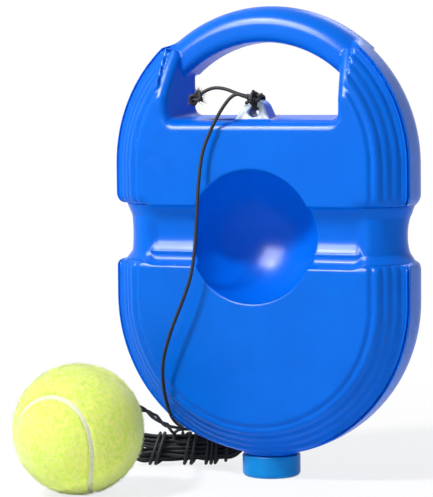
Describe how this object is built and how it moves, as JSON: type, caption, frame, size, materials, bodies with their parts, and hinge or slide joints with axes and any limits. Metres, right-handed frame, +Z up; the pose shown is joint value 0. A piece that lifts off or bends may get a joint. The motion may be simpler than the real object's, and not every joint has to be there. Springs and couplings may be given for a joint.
{
  "type": "solo tennis trainer",
  "caption": "Hollow ribbed base with a handle bar, ball seat, cord channel and screw cap, holding a felt ball on a knotted elastic cord whose spare length is a tied hank.",
  "frame": {"origin": "centre of the foot of the screw cap, on the floor under the neck", "axes": "+Z up along the neck and the cap, +X to the right along the base's width, -Y out of the front with the ball seat"},
  "size_m": [0.1852, 0.1501, 0.2466],
  "materials": {
    "base_plastic": "glossy blow-moulded blue",
    "cap_plastic": "smooth, slightly translucent blue",
    "liner_foam": "matt white foam",
    "ball_felt": "fuzzy felt",
    "seam_rubber": "matt pale rubber",
    "core_rubber": "matt black rubber",
    "plug_rubber": "matt black rubber",
    "cord_elastic": "fine braided black elastic"
  },
  "bodies": {
    "base": {"base_shell": "base_plastic", "lug_knot": "cord_elastic", "cord_tail": "cord_elastic", "tail_knot": "cord_elastic", "cord_drop": "cord_elastic", "cord_hank": "cord_elastic", "cord_wrap": "cord_elastic"},
    "liner": {"cap_liner": "liner_foam"},
    "cap": {"screw_cap": "cap_plastic"},
    "tether": {"cord_tether": "cord_elastic", "ball_knot": "cord_elastic"},
    "ball": {"core_half_a": "core_rubber", "core_half_b": "core_rubber", "felt_panel_a": "ball_felt", "felt_panel_b": "ball_felt", "ball_seam": "seam_rubber", "ball_plug": "plug_rubber"}
  },
  "joints": [
    {"name": "cap_lift", "type": "slide", "parent": "base", "child": "liner", "axis": [0, 0, -1], "range_m": [0, 0.00637]},
    {"name": "cap_turn", "type": "hinge", "parent": "liner", "child": "cap", "pos_m": [0, 0, 0], "axis": [0, 0, -1], "range_deg": [0, 720]},
    {"name": "tether_swing", "type": "hinge", "parent": "base", "child": "tether", "pos_m": [-0.06032, 0.00893, 0.021], "axis": [0, 0, 1], "range_deg": [-160, 0]},
    {"name": "ball_spin", "type": "hinge", "parent": "tether", "child": "ball", "pos_m": [-0.07, -0.088, 0.03325], "axis": [0.6237, 0.7433, 0.2419], "continuous": true}
  ],
  "couplings": [
    {"joint": "cap_lift", "follows": "cap_turn", "m_per_rad": 0.000506}
  ]
}
